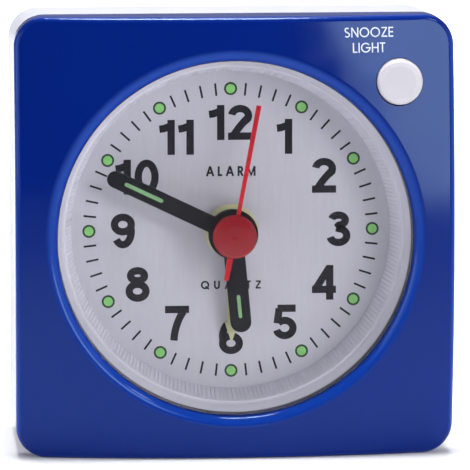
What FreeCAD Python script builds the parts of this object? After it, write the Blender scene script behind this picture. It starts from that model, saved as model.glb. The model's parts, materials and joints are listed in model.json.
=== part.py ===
import FreeCAD, Part
import math
import os
import re
import Sketcher
from FreeCAD import Placement, Rotation, Vector

# A square quartz travel alarm clock.  Millimetres, +Z up.  The dial faces -Y.
# The origin is on the surface the clock stands on, under the middle of its box.
# "Front" is the low-Y side; every arbor of the movement runs along Y.

doc = FreeCAD.newDocument("alarm_clock")
dims = doc.addObject("Spreadsheet::Sheet", "dims")

DIMENSIONS = {
    # case
    "case_width": 57.0,
    "case_height": 57.5,
    "case_depth": 33.4,
    "corner_radius": 4.0,
    "dome_radius": 130.0,
    "front_edge_radius": 0.9,
    "wall": 1.6,
    "boss_radius": 2.1,
    "collar_wall": 1.1,
    "collar_depth": 4.6,
    "parting_from_front": 7.4,
    "rear_wall_y": 13.7,
    "rear_step": 0.1,
    "rear_draft_top": 0.8,
    "rear_edge_radius": 1.4,
    "joint_gap": 0.05,
    # dial window
    "dial_axis_z": 28.75,
    "opening_radius": 23.0,
    "lip_radius": 1.5,
    "lens_radius": 23.9,
    "lens_thickness": 1.0,
    "lens_seat_y": -14.9,
    "lens_rise": 1.1,
    "ring_radius": 24.2,
    "ring_wall": 0.7,
    "ring_step_radius": 22.1,
    "ring_foot_radius": 20.9,
    "ring_step_depth": 2.6,
    "ring_rib_height": 0.12,
    "rib_count": 240,
    "dial_radius": 22.6,
    "dial_thickness": 0.4,
    "dial_y": -6.2,
    # hands
    "hand_thickness": 0.3,
    "alarm_hand_lift": 1.0,
    "hour_hand_lift": 2.6,
    "minute_hand_lift": 4.6,
    "second_hand_lift": 6.6,
    "alarm_hand_length": 14.4,
    "alarm_hand_width": 1.2,
    "alarm_hub_radius": 3.5,
    "hour_hand_length": 13.2,
    "hour_hand_width": 2.75,
    "hour_hub_radius": 3.1,
    "minute_hand_length": 18.1,
    "minute_hand_width": 2.2,
    "minute_hub_radius": 3.25,
    "second_hand_length": 17.3,
    "second_hand_width": 0.58,
    "second_tail_length": 5.9,
    "second_tail_width": 1.0,
    "second_cap_radius": 2.86,
    "second_cap_height": 1.1,
    "hour_lume_width": 0.45,
    "hour_lume_start": 8.5,
    "hour_lume_length": 2.6,
    "minute_lume_width": 0.5,
    "minute_lume_start": 10.4,
    "minute_lume_length": 5.0,
    # concentric tubes and running gap
    "running_gap": 0.06,
    "arbor_radius": 0.35,
    "seconds_tube_radius": 0.55,
    "cannon_tube_radius": 1.1,
    "hour_tube_radius": 1.65,
    "alarm_tube_radius": 2.2,
    # gear train
    "rotor_module": 0.16,
    "seconds_module": 0.2,
    "third_module": 0.2,
    "centre_module": 0.18889,
    "motion_module": 0.28,
    "hour_module": 0.2688,
    "alarm_module": 0.24,
    "wheel_thickness": 0.5,
    "rotor_distance": 5.6,
    "intermediate_distance": 7.2,
    "third_distance": 6.8,
    "setting_distance": 6.72,
    # movement
    "movement_width": 37.0,
    "movement_top_z": 43.9,
    "movement_bottom_z": 15.5,
    "front_plate_y": -5.7,
    "back_plate_y": 5.6,
    "plate_thickness": 0.9,
    "magnet_radius": 2.2,
    "magnet_length": 2.0,
    "coil_radius": 2.6,
    "coil_length": 11.0,
    "coil_cheek": 0.7,
    "coil_core_x": 14.2,
    "coil_core_length": 15.1,
    "bobbin_radius": 1.7,
    "movement_post_radius": 1.9,
    "movement_screw_radius": 0.75,
    "crystal_radius": 1.0,
    "crystal_length": 6.0,
    # snooze and light button
    "button_x": 21.2,
    "button_z": 48.95,
    "button_radius": 3.0,
    "button_hole_radius": 3.1,
    "button_proud": 0.95,
    "button_travel": 1.2,
    "spring_wire_radius": 0.16,
    "lamp_x": 9.8,
    "lamp_z": 52.6,
    "lamp_radius": 1.2,
    # back
    "knob_radius": 4.1,
    "knob_height": 2.7,
    "knob_grooves": 20,
    "knob_groove_radius": 0.28,
    "switch_x": -19.0,
    "switch_z": 41.0,
    "switch_travel": 3.0,
    "screw_x": 24.4,
    "screw_top_z": 52.9,
    "screw_low_z": 17.4,
    "screw_radius": 0.85,
    "screw_head_radius": 1.75,
    "sound_hole_radius": 0.6,
    "sound_hole_pitch": 2.2,
    "buzzer_z": 46.2,
    "buzzer_radius": 7.6,
    "ceramic_radius": 5.4,
    # battery compartment, for one small round cell
    "cell_radius": 5.2,
    "cell_length": 44.4,
    "cell_nub_radius": 1.85,
    "cell_z": 8.2,
    "cell_y": 6.4,
    "bay_half_width": 24.9,
    "bay_bottom_z": 2.5,
    "bay_top_z": 13.9,
    "bay_front_y": 0.9,
    "cover_thickness": 1.4,
    "door_gap": 0.15,
    "contact_wire_radius": 0.3,
}

for row, (alias, value) in enumerate(DIMENSIONS.items(), start=1):
    dims.set(f"A{row}", alias.replace("_", " "))
    dims.set(f"B{row}", str(value))
    dims.setAlias(f"B{row}", alias)
doc.recompute()


def full(expression):
    """Put the sheet's name before every alias used in an expression."""
    return re.sub(r"[a-z][a-z_]*[a-z]", lambda word: "dims." + word.group()
                  if word.group() in DIMENSIONS else word.group(), str(expression))


def size(expression):
    """The present value of an expression of the sheet's aliases."""
    return float(dims.evalExpression(full(expression)))


def bind(item, **expressions):
    """Bind properties of a document object to expressions of the sheet's aliases."""
    for name, expression in expressions.items():
        item.setExpression(name, full(expression))
    return item


def put(item, x="0", y="0", z="0"):
    """Bind the place of an object, keeping its rotation."""
    for axis, expression in zip("xyz", (x, y, z)):
        item.setExpression("Placement.Base." + axis, full(expression))
    return item


# ---------------------------------------------------------------- building blocks

def label(item, name):
    item.Label = name
    return item


def cylinder(radius, y_low, length, x="0", z="dial_axis_z"):
    """A cylinder along +Y."""
    item = doc.addObject("Part::Cylinder", "rod")
    item.Placement = Placement(Vector(), Rotation(Vector(1, 0, 0), -90))
    bind(item, Radius=radius, Height=length)
    return put(item, x, y_low, z)


def cross_cylinder(radius, x_low, length, y, z):
    """A cylinder along +X."""
    item = doc.addObject("Part::Cylinder", "cross_rod")
    item.Placement = Placement(Vector(), Rotation(Vector(0, 1, 0), 90))
    bind(item, Radius=radius, Height=length)
    return put(item, x_low, y, z)


def upright_cylinder(radius, x, y, z_low, length):
    """A cylinder along +Z."""
    item = doc.addObject("Part::Cylinder", "upright_rod")
    bind(item, Radius=radius, Height=length)
    return put(item, x, y, z_low)


def box(x, y, z, length, depth, height):
    """A box from its lowest corner and its sizes along X, Y and Z."""
    item = doc.addObject("Part::Box", "block")
    bind(item, Length=length, Width=depth, Height=height)
    return put(item, x, y, z)


def centred_box(half_width, y, z, depth, height, x="0"):
    return box(f"({x})-({half_width})", y, z, f"2*({half_width})", depth, height)


def join(name, *items):
    result = doc.addObject("Part::MultiFuse", name)
    result.Shapes = list(items)
    result.Refine = True
    return label(result, name)


def overlap(name, *items):
    result = doc.addObject("Part::MultiCommon", name)
    result.Shapes = list(items)
    return label(result, name)


def cut(name, base, *tools):
    """The base less the tools; the check that something was removed is made at once."""
    result = doc.addObject("Part::Cut", name)
    result.Base = base
    if len(tools) > 1:
        result.Tool = join(name + "_tools", *tools)
    else:
        result.Tool = tools[0]
    doc.recompute()
    if base.Shape.Volume - result.Shape.Volume < 1e-6:
        raise RuntimeError(f"{name}: a cut removed nothing")
    return label(result, name)


def rounded(name, base, radius, wanted):
    """Fillet the edges that wanted(edge) picks."""
    doc.recompute()
    value = size(radius)
    edges = [(number, value, value) for number, edge in enumerate(base.Shape.Edges, start=1)
             if wanted(edge)]
    if not edges:
        raise RuntimeError(f"{name}: no edge to round")
    result = doc.addObject("Part::Fillet", name)
    result.Base = base
    result.Edges = edges
    return label(result, name)


def along_y(edge):
    """Is this a straight edge along Y?"""
    if not isinstance(edge.Curve, Part.Line):
        return False
    return abs(edge.Curve.Direction.y) > 0.99


def origin_plane(body, role):
    return [item for item in body.Origin.OriginFeatures if item.Role == role][0]


def outline(body, plane, points):
    """A closed sketch whose every corner is held by two expressions."""
    sketch = body.newObject("Sketcher::SketchObject", "outline")
    sketch.AttachmentSupport = [(origin_plane(body, plane), "")]
    sketch.MapMode = "FlatFace"
    places = [(size(across), size(up)) for across, up in points]
    count = len(points)
    for number, (across, up) in enumerate(places):
        following = places[(number + 1) % count]
        sketch.addGeometry(Part.LineSegment(Vector(across, up, 0), Vector(*following, 0)))
    for number in range(count):
        sketch.addConstraint(Sketcher.Constraint("Coincident", number, 2, (number + 1) % count, 1))
    for number, (across, up) in enumerate(points):
        for kind, place, text in (("DistanceX", places[number][0], across),
                                  ("DistanceY", places[number][1], up)):
            held = sketch.addConstraint(Sketcher.Constraint(kind, -1, 1, number, 1, place))
            sketch.setExpression(f"Constraints[{held}]", full(text))
    return sketch


def turned(name, points, x="0", z="dial_axis_z"):
    """A body turned about an axis along Y; points are (radius, y)."""
    body = doc.addObject("PartDesign::Body", name)
    sketch = outline(body, "XY_Plane", points)
    revolution = body.newObject("PartDesign::Revolution", "turn")
    revolution.Profile = sketch
    revolution.ReferenceAxis = (sketch, ["V_Axis"])
    revolution.Angle = 360.0
    put(body, x, "0", z)
    return label(body, name)


def plate(name, points, y_low, thickness, x="0", z="0"):
    """A body padded along +Y; points are (x, z)."""
    body = doc.addObject("PartDesign::Body", name)
    sketch = outline(body, "XZ_Plane", points)
    pad = body.newObject("PartDesign::Pad", "pad")
    pad.Profile = sketch
    pad.Reversed = True
    bind(pad, Length=thickness)
    put(body, x, y_low, z)
    return label(body, name)


def wire_coil(name, coil_radius, wire_radius, turns, height, cone=0):
    """Round wire swept along a helix that starts at the origin and rises along +Z."""
    path = doc.addObject("Part::Helix", "coil_path")
    bind(path, Radius=coil_radius, Height=height, Pitch=f"({height})/({turns})", Angle=cone)
    path.SegmentLength = 1
    section = doc.addObject("Part::Circle", "wire_section")
    section.Placement = Placement(Vector(), Rotation(Vector(1, 0, 0), 90))
    bind(section, Radius=wire_radius)
    put(section, coil_radius)
    coil = doc.addObject("Part::Sweep", name)
    coil.Sections = [section]
    coil.Spine = (path, [])
    coil.Solid = True
    coil.Frenet = True
    return label(coil, name)


def feature(name, shape):
    item = doc.addObject("Part::Feature", name)
    item.Shape = shape
    return label(item, name)


# ---------------------------------------------------------------- toothed wheels

PRESSURE = math.radians(20.0)
TOOTH_THINNING = 0.2
ADDENDUM = 0.9
DEDENDUM = 1.25


def tooth_half_angle(teeth, module, radius):
    """Half the angle that one tooth fills at a radius: an involute flank, thinned for play."""
    pitch_radius = teeth * module / 2
    base_radius = pitch_radius * math.cos(PRESSURE)
    roll = math.acos(min(1.0, base_radius / max(radius, base_radius)))
    widening = (math.tan(PRESSURE) - PRESSURE) - (math.tan(roll) - roll)
    return math.pi / (2 * teeth) + widening - TOOTH_THINNING * module / (2 * pitch_radius)


def toothed_disc(teeth, module, phase, y_low, thickness, x, z):
    """A toothed disc with a tooth's middle at the angle phase, from +X towards +Z."""
    pitch_radius = teeth * module / 2
    radii = (pitch_radius - DEDENDUM * module, pitch_radius * math.cos(PRESSURE),
             pitch_radius, pitch_radius + ADDENDUM * module)
    radii = [radius for radius in radii if radius >= radii[0]]
    spread = [tooth_half_angle(teeth, module, radius) for radius in radii]
    flank = list(zip(radii, spread))
    corners = []
    for tooth in range(teeth):
        middle = phase + tooth * 2 * math.pi / teeth
        corners += [(radius, middle - half) for radius, half in flank]
        corners += [(radius, middle + half) for radius, half in reversed(flank)]
    points = [Vector(x + radius * math.cos(angle), y_low, z + radius * math.sin(angle))
              for radius, angle in corners]
    face = Part.Face(Part.makePolygon(points + points[:1]))
    return face.extrude(Vector(0, thickness, 0))


def meshing_phase(phase, teeth, other_teeth, direction):
    """The phase of a wheel that a wheel at phase drives, lying in a direction from it."""
    return direction + math.pi - teeth / other_teeth * (phase - direction) + math.pi / other_teeth


def rod(radius, y_low, y_high, x, z):
    return Part.makeCylinder(radius, y_high - y_low, Vector(x, y_low, z), Vector(0, 1, 0))


def pierced(shape, radius, x, z):
    """The shape with a round hole along Y."""
    return shape.cut(rod(radius, -40, 40, x, z))


def with_windows(shape, count, ring_radius, window_radius, x, z):
    """Round lightening holes in a wheel's web."""
    for number in range(count):
        angle = 2 * math.pi * (number + 0.5) / count
        shape = pierced(shape, window_radius, x + ring_radius * math.cos(angle),
                        z + ring_radius * math.sin(angle))
    return shape


AXIS_Z = size("dial_axis_z")
GAP = size("running_gap")
WHEEL = size("wheel_thickness")
ARBOR = size("arbor_radius")
SETTING = size("setting_distance")

# Wheel levels, front to back: the low Y face of each toothed disc.
ALARM_LEVEL = -4.6
HOUR_LEVEL = -3.8
MOTION_LEVEL = -2.9
CENTRE_LEVEL = -2.0
THIRD_LEVEL = -0.8
SECONDS_LEVEL = 0.4
INTERMEDIATE_LEVEL = 1.4
MAGNET_LEVEL = 2.4

ROTOR_TEETH, INTERMEDIATE_TEETH = 10, 60
INTERMEDIATE_PINION_TEETH, SECONDS_TEETH = 12, 60
SECONDS_PINION_TEETH, THIRD_TEETH = 8, 60
THIRD_PINION_TEETH, CENTRE_TEETH = 8, 64
CANNON_TEETH, MINUTE_TEETH = 12, 36
MINUTE_PINION_TEETH, HOUR_TEETH = 10, 40
ALARM_TEETH, ALARM_PINION_TEETH = 40, 16

UP, DOWN, LEFT, RIGHT = math.pi / 2, -math.pi / 2, math.pi, 0.0

third_z = AXIS_Z + size("third_distance")
intermediate_z = AXIS_Z - size("intermediate_distance")
rotor_x = size("rotor_distance")
front_pivot_y = size("front_plate_y+plate_thickness/2")
back_pivot_y = size("back_plate_y+plate_thickness/2")


def hand_y(lift):
    """The low Y face of a hand that stands off the dial by lift."""
    return size(f"dial_y-{lift}-hand_thickness")


# ---------------------------------------------------------------- case

front_y = "(-case_depth/2)"
crest = "(opening_radius+lip_radius)"
dome_centre_y = f"({front_y}+sqrt(dome_radius^2-{crest}^2))"
parting_y = f"({front_y}+parting_from_front)"
bosses = [(side, height) for height in ("screw_top_z", "screw_low_z") for side in ("", "-")]


def dome(radius):
    """The ball whose front makes the bulged face."""
    item = doc.addObject("Part::Sphere", "dome")
    bind(item, Radius=radius)
    return put(item, "0", dome_centre_y, "dial_axis_z")


def shell_block(inset):
    """The square block under the bulged face, with round corners, inset all round."""
    block = centred_box(f"case_width/2-{inset}", f"{front_y}-1", inset,
                        "parting_from_front+1", f"case_height-2*{inset}")
    return rounded("round_block", block, f"corner_radius-{inset}", along_y)


def make_front_case():
    bulged = overlap("bulged_block", shell_block("0"), dome("dome_radius"))
    doc.recompute()
    edge_limit = size(parting_y) - 0.5

    def front_rim(edge):
        box_of = edge.BoundBox
        return box_of.YMax < edge_limit and not along_y(edge) and box_of.DiagonalLength > 1

    outer = rounded("outer_skin", bulged, "front_edge_radius", front_rim)
    hollow = overlap("hollow", shell_block("wall"), dome("dome_radius-wall"))
    shell = cut("hollow_shell", outer, hollow)
    # A collar round the window carries the lens seat and grips the ring behind it.
    collar = cylinder("ring_radius+collar_wall", "lens_seat_y-0.9", "collar_depth")
    posts = [cylinder("boss_radius", f"{front_y}+3.2", "parting_from_front-3.2+1.5",
                      f"{side}screw_x", height) for side, height in bosses]
    guide = cylinder("button_hole_radius+0.9", f"{front_y}+2", "1.65", "button_x", "button_z")
    board_posts = [cylinder("0.9", f"{front_y}+2", "dial_y+case_depth/2-1.65", x, z)
                   for x, z in (("lamp_x+2.8", "lamp_z+0.7"), ("button_x+3.7", "button_z-3.05"))]
    skin_room = overlap("skin_room", shell_block("0.4"), dome("dome_radius-0.4"))
    rear_room = centred_box("case_width/2-2.2", parting_y, "2.2", "3.5", "case_height-4.4")
    post_limit = overlap("inner_limit", join("inner_parts", collar, *posts, guide, *board_posts),
                         join("inner_room", skin_room, rear_room))
    body = join("front_body", shell, post_limit)
    window = cylinder("opening_radius", f"{front_y}-2", "12")
    seat = cylinder("lens_radius+joint_gap", "lens_seat_y", "12")
    ring_bore = cylinder("ring_radius+joint_gap", "lens_seat_y+lens_thickness", "12")
    hole = cylinder("button_hole_radius", f"{front_y}-2", "12", "button_x", "button_z")
    flange_way = cylinder("button_radius+0.6", f"{front_y}+3.65", "9", "button_x", "button_z")
    pilots = [cylinder("screw_radius", f"{front_y}+4.4", "12", f"{side}screw_x", height)
              for side, height in bosses]
    pierced_body = cut("pierced_body", body, window, seat, ring_bore, hole, flange_way, *pilots)
    doc.recompute()

    def window_rim(edge):
        limits = edge.BoundBox
        return edge.Closed and limits.YMax < size("lens_seat_y") - 1 and limits.XLength > 40

    return rounded("front_case", pierced_body, "lip_radius-0.05", window_rim)


def rear_wedge(inset, y_low, y_high):
    """A block whose top slopes down a little to the rear."""
    item = doc.addObject("Part::Wedge", "wedge")
    bind(item, Xmin=f"-case_width/2+rear_step+{inset}", Xmax=f"case_width/2-rear_step-{inset}",
         X2min=f"-case_width/2+rear_step+{inset}", X2max=f"case_width/2-rear_step-{inset}",
         Ymin=y_low, Ymax=y_high, Zmin=inset, Z2min=inset,
         Zmax=f"case_height-rear_step-{inset}", Z2max=f"case_height-rear_step-rear_draft_top-{inset}")
    return rounded("round_wedge", item, f"corner_radius-0.2-{inset}", along_y)


def make_rear_case():
    start = f"{parting_y}+joint_gap"
    block = rear_wedge("0", start, "rear_wall_y")

    def rear_rim(edge):
        return edge.BoundBox.YMin > size("rear_wall_y") - 0.01

    outer = rounded("rear_skin", block, "rear_edge_radius", rear_rim)
    shell = cut("rear_shell", outer, rear_wedge("wall", f"{start}-1", "rear_wall_y-wall"))
    bay = box("-bay_half_width-0.9", "bay_front_y-0.9", "1", "2*bay_half_width+1.8",
              "rear_wall_y-bay_front_y-0.6", "bay_top_z")
    posts = [cylinder("boss_radius", f"{parting_y}+1.6", f"rear_wall_y-1.2-{parting_y}-1.6",
                      f"{side}screw_x", height) for side, height in bosses]
    knob_bushes = [cylinder("1.7", "rear_wall_y-3.2", "2.4", x) for x in
                   ("setting_distance", "-setting_distance")]
    ribs = [box(f"{x}-0.6", "back_plate_y+plate_thickness+joint_gap", "19",
                "1.2", "rear_wall_y-0.8-back_plate_y-plate_thickness-joint_gap", "5")
            for x in ("-11", "11")]
    body = join("rear_body", shell, bay, *posts, *knob_bushes, *ribs)
    room = centred_box("bay_half_width", "bay_front_y", "bay_bottom_z", "12", "bay_top_z-bay_bottom_z")
    doorway = centred_box("bay_half_width+0.1", "rear_wall_y-cover_thickness-0.1", "bay_bottom_z-0.6",
                          "3", "bay_top_z-bay_bottom_z+1.6")
    tab_slots = [box(f"{x}-2.2", "rear_wall_y-2.4", "bay_bottom_z-1.25", "4.4", "1.7", "1.4")
                 for x in ("-14", "14")]
    latch_slot = box("-3.3", "rear_wall_y-3.6", "bay_top_z-0.1", "6.6", "2.8", "1.3")
    screw_ways = [cylinder("screw_radius+0.15", f"{parting_y}-1", "30", f"{side}screw_x", height)
                  for side, height in bosses]
    head_ways = [cylinder("screw_head_radius+0.15", "rear_wall_y-2.6", "6", f"{side}screw_x", height)
                 for side, height in bosses]
    knob_ways = [cylinder("1.0", "rear_wall_y-5", "8", x) for x in
                 ("setting_distance", "-setting_distance")]
    switch_way = box("switch_x-1.3", "rear_wall_y-3", "switch_z-switch_travel/2-1.5", "2.6", "5",
                     "switch_travel+3")
    switch_dish = box("switch_x-2.6", "rear_wall_y-0.7", "switch_z-switch_travel/2-2.4", "5.2", "2",
                      "switch_travel+4.8")
    sound_holes = []
    for row in range(-2, 3):
        for column in range(-2, 3):
            if abs(row) + abs(column) < 4:
                sound_holes.append(cylinder("sound_hole_radius", "rear_wall_y-3", "6",
                                            f"sound_hole_pitch*{column}",
                                            f"buzzer_z+sound_hole_pitch*{row}"))
    return cut("rear_case", body, room, doorway, *tab_slots, latch_slot, *screw_ways, *head_ways,
               *knob_ways, switch_way, switch_dish, *sound_holes)


def make_case_screws():
    """Four pan-head screws, one solid each, put in from the back."""
    screws = []
    for side, height in bosses:
        shank = cylinder("screw_radius", f"{front_y}+5.2",
                         "rear_wall_y-2.55-5.2+case_depth/2", f"{side}screw_x", height)
        head = cylinder("screw_head_radius", "rear_wall_y-2.55", "1.3", f"{side}screw_x", height)
        slot = centred_box("0.25", "rear_wall_y-1.75", f"{height}-1", "1", "2", f"{side}screw_x")
        cross = centred_box("1", "rear_wall_y-1.75", f"{height}-0.25", "1", "0.5", f"{side}screw_x")
        screws.append(cut("case_screw", join("screw_blank", shank, head), slot, cross))
    doc.recompute()
    return feature("case_screws", Part.makeCompound([screw.Shape for screw in screws]))


# ---------------------------------------------------------------- window, ring and dial

def make_lens():
    """A clear window with a shallow bulge and a flat rim."""
    flat_from = "(lens_radius-1.4)"
    ball_radius = f"(({flat_from}^2+lens_rise^2)/(2*lens_rise))"
    ball_y = f"(lens_seat_y-lens_rise+{ball_radius})"
    rim = cylinder("lens_radius", "lens_seat_y+running_gap/2", "lens_thickness-running_gap/2")
    outer_ball = doc.addObject("Part::Sphere", "outer_ball")
    inner_ball = doc.addObject("Part::Sphere", "inner_ball")
    bind(outer_ball, Radius=ball_radius)
    bind(inner_ball, Radius=f"{ball_radius}-lens_thickness")
    for ball in (outer_ball, inner_ball):
        put(ball, "0", ball_y, "dial_axis_z")
    bulge = overlap("bulge", outer_ball,
                    cylinder(flat_from, "lens_seat_y-3", "3.5"))
    cut("lens", join("lens_blank", rim, bulge), inner_ball)


def make_dial_ring():
    """The reflector ring: a smooth upper flare, a step, and a ribbed slope down to the dial."""
    top = size("lens_seat_y+lens_thickness+joint_gap")
    foot = size("dial_y-joint_gap")
    step = top + size("ring_step_depth")
    outer = size("ring_radius")
    step_radius = size("ring_step_radius")
    foot_radius = size("ring_foot_radius")
    ring_wall = size("ring_wall")
    rib = size("ring_rib_height")
    count = int(size("rib_count"))
    profile = [(outer, top), (size("opening_radius") + 0.1, top), (step_radius + 0.25, step - 0.2),
               (step_radius, step), (step_radius - 0.2, step), (foot_radius, foot),
               (foot_radius + ring_wall, foot), (step_radius + ring_wall, step + 0.6),
               (outer, step - 0.4)]
    points = [Vector(radius, y, 0) for radius, y in profile]
    body = Part.Face(Part.makePolygon(points + points[:1])).revolve(Vector(), Vector(0, 1, 0), 360)
    # One rib is a thin wedge on the slope; its ridge stands rib high over the slope.
    upper = (step_radius - 0.2, step + 0.15)
    lower = (foot_radius + 0.02, foot - 0.1)
    half_pitch = math.pi / count
    ribs = []
    for number in range(count):
        turn = Rotation(Vector(0, 1, 0), math.degrees(2 * half_pitch * number))
        ends = []
        for radius, y in (upper, lower):
            sunk = radius + 0.1
            side = sunk * math.tan(half_pitch * 0.62)
            corners = [Vector(sunk, y, -side), Vector(radius - rib, y, 0), Vector(sunk, y, side)]
            ends.append(Part.makePolygon(corners + corners[:1]))
        rib_solid = Part.makeLoft(ends, True, True)
        rib_solid.Placement = Placement(Vector(), turn)
        ribs.append(rib_solid)
    ring = feature("dial_ring", body.fuse(ribs))
    return put(ring, "0", "0", "dial_axis_z")


def make_dial():
    disc = cylinder("dial_radius", "dial_y", "dial_thickness")
    hole = cylinder("alarm_tube_radius+0.3", "dial_y-1", "3")
    return cut("dial", disc, hole)


# ---------------------------------------------------------------- hands

def turned_to(item, clock_angle):
    """Turn a hand, drawn at twelve o'clock on the Y axis, to its place over the dial."""
    item.Placement = Placement(Vector(0, 0, size("dial_axis_z")),
                               Rotation(Vector(0, 1, 0), clock_angle))
    return item


def hand_blade(width, length, lift):
    """A parallel blade with a round tip, reaching from the hub to length."""
    y_low = f"dial_y-{lift}-hand_thickness"
    blade = centred_box(f"{width}/2", y_low, "0", "hand_thickness", f"{length}-{width}/2")
    tip = cylinder(f"{width}/2", y_low, "hand_thickness", "0", f"{length}-{width}/2")
    return [blade, tip]


def hand_hub(radius, lift):
    return cylinder(radius, f"dial_y-{lift}-hand_thickness", "hand_thickness", "0", "0")


def collar_on(tube, lift):
    """The short collar under a hand that presses on its tube."""
    return cylinder(f"{tube}+0.35", f"dial_y-{lift}-0.01", "0.5", "0", "0")


def hand_bore(tube):
    return cylinder(tube, "dial_y-12", "12", "0", "0")


def lume_slot(lift, width, start, length):
    """A through slot with round ends, for the luminous fill."""
    y_low = f"dial_y-{lift}-hand_thickness"
    return [centred_box(f"{width}/2", y_low, start, "hand_thickness", length),
            cylinder(f"{width}/2", y_low, "hand_thickness", "0", start),
            cylinder(f"{width}/2", y_low, "hand_thickness", "0", f"{start}+{length}")]


ALARM_ANGLE = 180.0
HOUR_ANGLE = 174.6
MINUTE_ANGLE = 295.6
SECOND_ANGLE = 10.7


def make_hands():
    y_alarm = "dial_y-alarm_hand_lift-hand_thickness"
    arrow = plate("arrow", [("-alarm_hand_width*0.75", "alarm_hand_length-2.4"),
                            ("alarm_hand_width*0.75", "alarm_hand_length-2.4"),
                            ("0.12", "alarm_hand_length"), ("-0.12", "alarm_hand_length")],
                  y_alarm, "hand_thickness")
    shaft = centred_box("alarm_hand_width/2", y_alarm, "0", "hand_thickness", "alarm_hand_length-2.2")
    blank = join("alarm_blank", hand_hub("alarm_hub_radius", "alarm_hand_lift"), shaft, arrow,
                 collar_on("alarm_tube_radius", "alarm_hand_lift"))
    turned_to(cut("alarm_hand", blank, hand_bore("alarm_tube_radius")), ALARM_ANGLE)

    hour_fill = ("hour_hand_lift", "hour_lume_width", "hour_lume_start", "hour_lume_length")
    blank = join("hour_blank", hand_hub("hour_hub_radius", "hour_hand_lift"),
                 *hand_blade("hour_hand_width", "hour_hand_length", "hour_hand_lift"),
                 collar_on("hour_tube_radius", "hour_hand_lift"))
    turned_to(cut("hour_hand", blank, hand_bore("hour_tube_radius"), *lume_slot(*hour_fill)),
              HOUR_ANGLE)
    turned_to(join("hour_hand_lume", *lume_slot(*hour_fill)), HOUR_ANGLE)

    minute_fill = ("minute_hand_lift", "minute_lume_width", "minute_lume_start", "minute_lume_length")
    blank = join("minute_blank", hand_hub("minute_hub_radius", "minute_hand_lift"),
                 *hand_blade("minute_hand_width", "minute_hand_length", "minute_hand_lift"),
                 collar_on("cannon_tube_radius", "minute_hand_lift"))
    turned_to(cut("minute_hand", blank, hand_bore("cannon_tube_radius"), *lume_slot(*minute_fill)),
              MINUTE_ANGLE)
    turned_to(join("minute_hand_lume", *lume_slot(*minute_fill)), MINUTE_ANGLE)

    y_second = "dial_y-second_hand_lift-hand_thickness"
    needle = plate("needle", [("-second_hand_width*0.42", "0"), ("second_hand_width*0.42", "0"),
                              ("second_hand_width*0.55", "second_hand_length"),
                              ("-second_hand_width*0.55", "second_hand_length")],
                   y_second, "hand_thickness")
    tail = plate("tail", [("-second_tail_width/2", "0"), ("-second_tail_width*0.27", "-second_tail_length"),
                          ("second_tail_width*0.27", "-second_tail_length"), ("second_tail_width/2", "0")],
                 y_second, "hand_thickness")
    blank = join("second_blank", hand_hub("1.6", "second_hand_lift"), needle, tail,
                 collar_on("seconds_tube_radius", "second_hand_lift"))
    turned_to(cut("second_hand", blank, hand_bore("seconds_tube_radius")), SECOND_ANGLE)
    turned("second_hand_cap", [("0", y_second), ("second_cap_radius", y_second),
                               ("second_cap_radius", f"{y_second}-second_cap_height*0.55"),
                               ("second_cap_radius-0.12", f"{y_second}-second_cap_height*0.75"),
                               ("second_cap_radius-0.4", f"{y_second}-second_cap_height*0.88"),
                               ("second_cap_radius*0.5", f"{y_second}-second_cap_height*0.97"),
                               ("0", f"{y_second}-second_cap_height")])


# ---------------------------------------------------------------- gear train

def hollow_tube(radius, bore, y_low, y_high):
    return rod(radius, y_low, y_high, 0, AXIS_Z).cut(rod(bore, y_low - 1, y_high + 1, 0, AXIS_Z))


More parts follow.
